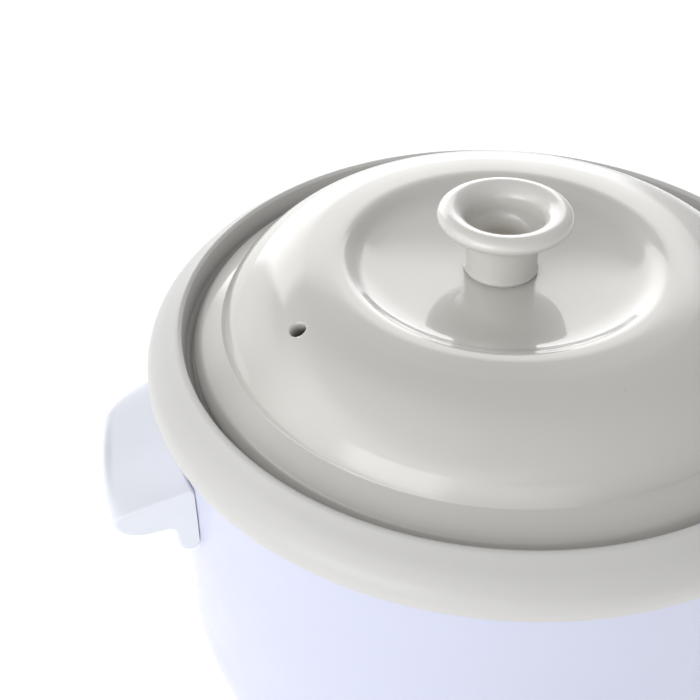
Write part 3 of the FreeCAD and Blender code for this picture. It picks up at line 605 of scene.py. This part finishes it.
# ---- control panel, dial and inlet ------------------------------------------------------------
PANEL_LOW, PANEL_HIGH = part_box("control_panel")
DIAL_LOW, DIAL_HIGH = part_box("control_knob")
DIAL_Z = (DIAL_LOW.z + DIAL_HIGH.z) / 2 / MM
DIAL_R = DIAL_HIGH.x / MM
DIAL_STEP = 45.0                      # degrees between two settings
DIAL_START = -67.5                    # degrees from straight up to the first setting
DIAL_DEPTH = 12.0
DIAL_FLUTES = 24
BORE_GAP = 0.5                        # clearance round the dial's shaft and clip
PANEL_EDGE = 2.2                      # radius of the panel's edge
ON_WALL = 0.15                        # gap between a fitting and the shell
NUMBER_SIZE = 0.0048
NUMBER_REACH = 0.0256                 # from the dial's axis
NUMBER_RISE = 0.00004
INLET_EDGE = 1.8
INLET_CORNER = 8.0
MOUTH_X, MOUTH_Z = 25.3, 12.65        # half the size of the recess round the socket
MOUTH_LIP = 0.35
MOUTH_DEPTH = 3.1
LENS_DOME = 0.9


def bore_for_dial(target, node):
    """Makes room behind the dial for the node that turns there."""
    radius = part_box(node)[1].x / MM + BORE_GAP
    inner, outer = -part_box("switch_shaft")[1].y / MM, -DIAL_LOW.y / MM
    profile = [(0.0, inner), (radius, inner), (radius, outer), (0.0, outer)]
    subtract(target, lathe("bore", profile, 64, along="Y", centre=(0.0, DIAL_Z)))


def rounded_rectangle(half_x, low, high, radius, steps=10, straight=6):
    """Points (x, z) round a rectangle with round corners."""
    corners = [(half_x - radius, high - radius, 0), (-half_x + radius, high - radius, 90),
               (-half_x + radius, low + radius, 180), (half_x - radius, low + radius, 270)]
    arcs = []
    for x, z, start in corners:
        turns = [math.radians(start + 90 * step / steps) for step in range(steps + 1)]
        arcs.append([(x + radius * math.cos(turn), z + radius * math.sin(turn)) for turn in turns])
    found = []
    for arc, following in zip(arcs, arcs[1:] + arcs[:1]):
        found += arc
        (x0, z0), (x1, z1) = arc[-1], following[0]
        found += [(x0 + (x1 - x0) * k / straight, z0 + (z1 - z0) * k / straight) for k in range(1, straight)]
    return found


def wall_y(x, z):
    """How far back from the middle the shell's outside is at a point (x, z)."""
    return math.sqrt(shell_radius(z) ** 2 - x * x)


def make_panel():
    half = PANEL_HIGH.x / MM
    low, high = PANEL_LOW.z / MM, PANEL_HIGH.z / MM
    face = -PANEL_LOW.y / MM

    def outline(inset):
        return rounded_rectangle(half - inset, low + inset, high - inset, half - inset - 0.01, 24)

    rings = [[(x, -wall_y(x, z) - ON_WALL, z) for x, z in outline(0.0)]]
    for step in range(9):
        turn = math.pi / 2 * step / 8
        y = -(face - PANEL_EDGE + PANEL_EDGE * math.sin(turn))
        rings.append([(x, y, z) for x, z in outline(PANEL_EDGE * (1 - math.cos(turn)))])
    for inset in (3.4, 6.0, 12.0, 20.0):
        rings.append([(x, -face, z) for x, z in outline(inset)])
    plate = piece(loft("panel_plate", rings, caps=(False, True)), "base", "white_plastic", "control_panel")
    bore_for_dial(plate, "knob_clip")


def make_dial():
    face = -DIAL_LOW.y / MM
    back = face - DIAL_DEPTH

    def flutes(turn, r, height):
        grip = between(r, DIAL_R - 4.5, DIAL_R - 2.0)
        return 1.0 - 0.035 * grip * (0.5 + 0.5 * math.cos(DIAL_FLUTES * turn)) ** 3

    profile = rounded([(0.0, back, 0), (DIAL_R - 1.0, back, 0.3), (DIAL_R, back + 0.6, 0.5),
                       (DIAL_R - 0.5, face - 5.5, 2.0), (DIAL_R - 2.0, face - 1.2, 2.0),
                       (DIAL_R - 3.6, face, 1.0), (DIAL_R - 6.0, face, 1.0),
                       (DIAL_R - 6.6, face - 0.5, 1.0), (0.0, face - 0.5, 0)], 6)
    data = lathe("dial_grip", profile, 288, ripple=flutes, along="Y", centre=(0.0, DIAL_Z))
    piece(data, "dial", "white_plastic", "control_knob")


def make_numbers():
    for setting in range(4):
        angle = math.radians(DIAL_START + DIAL_STEP * setting)
        data = bpy.data.curves.new("number_%d" % setting, "FONT")
        data.body = str(setting)
        data.size = NUMBER_SIZE
        data.align_x = "CENTER"
        data.align_y = "CENTER"
        data.extrude = 0.00006
        drawn = bpy.data.objects.new("number_drawn", data)
        bpy.context.scene.collection.objects.link(drawn)
        bpy.context.view_layer.update()
        ready = bpy.context.evaluated_depsgraph_get()
        mesh = bpy.data.meshes.new_from_object(drawn.evaluated_get(ready))
        bpy.data.objects.remove(drawn)
        mesh.name = "number_%d" % setting
        x, rise = NUMBER_REACH * math.sin(angle), NUMBER_REACH * math.cos(angle)
        place = Vector((x, PANEL_LOW.y - NUMBER_RISE, DIAL_Z * MM + rise))
        mesh.transform(Matrix.Translation(place) @ Matrix.Rotation(math.pi / 2, 4, "X"))
        mesh.materials.clear()
        piece(mesh, "base", "grey_mark")


def make_inlet():
    low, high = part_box("inlet_housing")
    half, bottom, top, face = high.x / MM, low.z / MM, high.z / MM, high.y / MM
    rings = [[(x, wall_y(x, z) + ON_WALL, z) for x, z in rounded_rectangle(half, bottom, top, INLET_CORNER)]]
    for step in range(7):
        turn = math.pi / 2 * step / 6
        inset = INLET_EDGE * (1 - math.cos(turn))
        outline = rounded_rectangle(half - inset, bottom + inset, top - inset, INLET_CORNER - inset)
        rings.append([(x, face - INLET_EDGE + INLET_EDGE * math.sin(turn), z) for x, z in outline])
    middle = (bottom + top) / 2
    steps = ((0.0, 0.0), (0.25, 0.1), (MOUTH_LIP, 0.35), (MOUTH_LIP, MOUTH_DEPTH), (6.0, MOUTH_DEPTH))
    for inset, depth in steps:
        outline = rounded_rectangle(MOUTH_X + MOUTH_LIP - inset, middle - MOUTH_Z + inset,
                                    middle + MOUTH_Z - inset, 3.0)
        rings.append([(x, face - depth, z) for x, z in outline])
    piece(loft("inlet_hood", rings), "base", "white_plastic", "inlet_housing")


def make_lens():
    low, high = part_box("lamp_lens")
    x, z = (low.x + high.x) / 2 / MM, (low.z + high.z) / 2 / MM
    r, face = (high.x - low.x) / 2 / MM, -low.y / MM
    back = -high.y / MM
    turns = [math.pi / 2 * step / 10 for step in range(10)]
    dome = [(r * math.cos(turn), face - LENS_DOME + LENS_DOME * math.sin(turn)) for turn in turns]
    profile = [(0.0, back), (r, back)] + dome + [(0.0, face)]
    data = lathe("lamp_dome", profile, 64, along="Y", centre=(x, z))
    piece(data, "base", "lamp_lens", "lamp_lens")


make_lid()
make_knob()
make_pot()
make_shell()
make_handle("handle_left", "left_handle", -1)
make_handle("handle_right", "right_handle", 1)
make_panel()
make_dial()
make_numbers()
make_inlet()
make_lens()


# ---- floor and light --------------------------------------------------------------------------
def make_floor():
    mesh = bmesh.new()
    bmesh.ops.create_grid(mesh, x_segments=4, y_segments=4, size=8.0)
    data = bpy.data.meshes.new("floor")
    mesh.to_mesh(data)
    mesh.free()
    floor = bpy.data.objects.new("floor", data)
    bpy.context.scene.collection.objects.link(floor)
    n = Nodes("floor_white")
    n.surface((0.95, 0.95, 0.95), (0.94, 0.94, 0.94), 3.0, 0.7, 5.0)
    n.set(Emission_Color=(1.0, 1.0, 1.0, 1.0), Emission_Strength=0.28)
    data.materials.append(n.material)


class Sky:
    """World light made of soft panels and glows round the object."""

    def __init__(self, base):
        world = bpy.data.worlds.new("studio")
        bpy.context.scene.world = world
        world.use_nodes = True
        self.tree = world.node_tree
        self.out = self.tree.nodes["Background"]
        self.way = self.tree.nodes.new("ShaderNodeTexCoord").outputs["Generated"]
        self.total = self.math("ADD", base, 0.0)

    def math(self, kind, first, second=0.0):
        node = self.tree.nodes.new("ShaderNodeMath")
        node.operation = kind
        for socket, value in zip(node.inputs, (first, second)):
            if isinstance(value, (int, float)):
                socket.default_value = value
            else:
                self.tree.links.new(value, socket)
        return node.outputs[0]

    def dot(self, direction):
        node = self.tree.nodes.new("ShaderNodeVectorMath")
        node.operation = "DOT_PRODUCT"
        self.tree.links.new(self.way, node.inputs[0])
        node.inputs[1].default_value = direction
        return node.outputs["Value"]

    def ramp(self, value, low, high):
        node = self.tree.nodes.new("ShaderNodeMapRange")
        node.interpolation_type = "SMOOTHSTEP"
        self.tree.links.new(value, node.inputs["Value"])
        node.inputs["From Min"].default_value = low
        node.inputs["From Max"].default_value = high
        return node.outputs["Result"]

    def add(self, value, strength):
        self.total = self.math("ADD", self.total, self.math("MULTIPLY", value, strength))

    def glow(self, azimuth, elevation, inner, outer, strength):
        """A round light, full up to the angle inner from its middle and gone at outer, in degrees."""
        a, e = math.radians(azimuth), math.radians(elevation)
        way = (math.cos(e) * math.cos(a), math.cos(e) * math.sin(a), math.sin(e))
        edge, full = math.cos(math.radians(outer)), math.cos(math.radians(inner))
        self.add(self.ramp(self.dot(way), edge, full), strength)

    def panel(self, azimuth, low, high, half, soft, strength):
        """A panel from one elevation to another, half wide to each side, all in degrees."""
        a = math.radians(azimuth)
        lower = math.sin(math.radians(low))
        upper = math.sin(math.radians(high))
        wide = math.sin(math.radians(half))
        rise = self.dot((0.0, 0.0, 1.0))
        aside = self.math("ABSOLUTE", self.dot((-math.sin(a), math.cos(a), 0.0)))
        ahead = self.ramp(self.dot((math.cos(a), math.sin(a), 0.0)), 0.0, 0.1)
        over = self.math("SUBTRACT", 1.0, self.ramp(rise, upper - soft, upper + soft))
        past = self.math("SUBTRACT", 1.0, self.ramp(aside, wide - 2 * soft, wide + 2 * soft))
        value = self.math("MULTIPLY", self.ramp(rise, lower - soft, lower + soft), over)
        value = self.math("MULTIPLY", value, past)
        self.add(self.math("MULTIPLY", value, ahead), strength)

    def finish(self):
        """The background itself is plain white."""
        seen = self.tree.nodes.new("ShaderNodeMix")
        path = self.tree.nodes.new("ShaderNodeLightPath")
        self.tree.links.new(path.outputs["Is Camera Ray"], seen.inputs["Factor"])
        self.tree.links.new(self.total, seen.inputs["A"])
        seen.inputs["B"].default_value = 1.0
        self.tree.links.new(seen.outputs["Result"], self.out.inputs["Strength"])
        self.out.inputs["Color"].default_value = (1.0, 1.0, 1.0, 1.0)


def make_light():
    sky = Sky(0.48)
    sky.panel(84.0, -2.0, 35.0, 25.0, 0.03, 2.0)
    sky.panel(95.0, -2.0, 26.0, 46.0, 0.08, 0.6)
    sky.panel(-155.0, -4.0, 42.0, 42.0, 0.10, 1.06)
    sky.panel(-143.0, 5.0, 29.0, 18.0, 0.05, 1.8)
    sky.panel(-95.0, -4.0, 24.0, 16.0, 0.10, 0.8)
    sky.glow(185.0, 50.0, 10.0, 45.0, 0.28)
    sky.finish()
    bpy.context.scene.view_settings.view_transform = "Standard"


make_floor()
make_light()
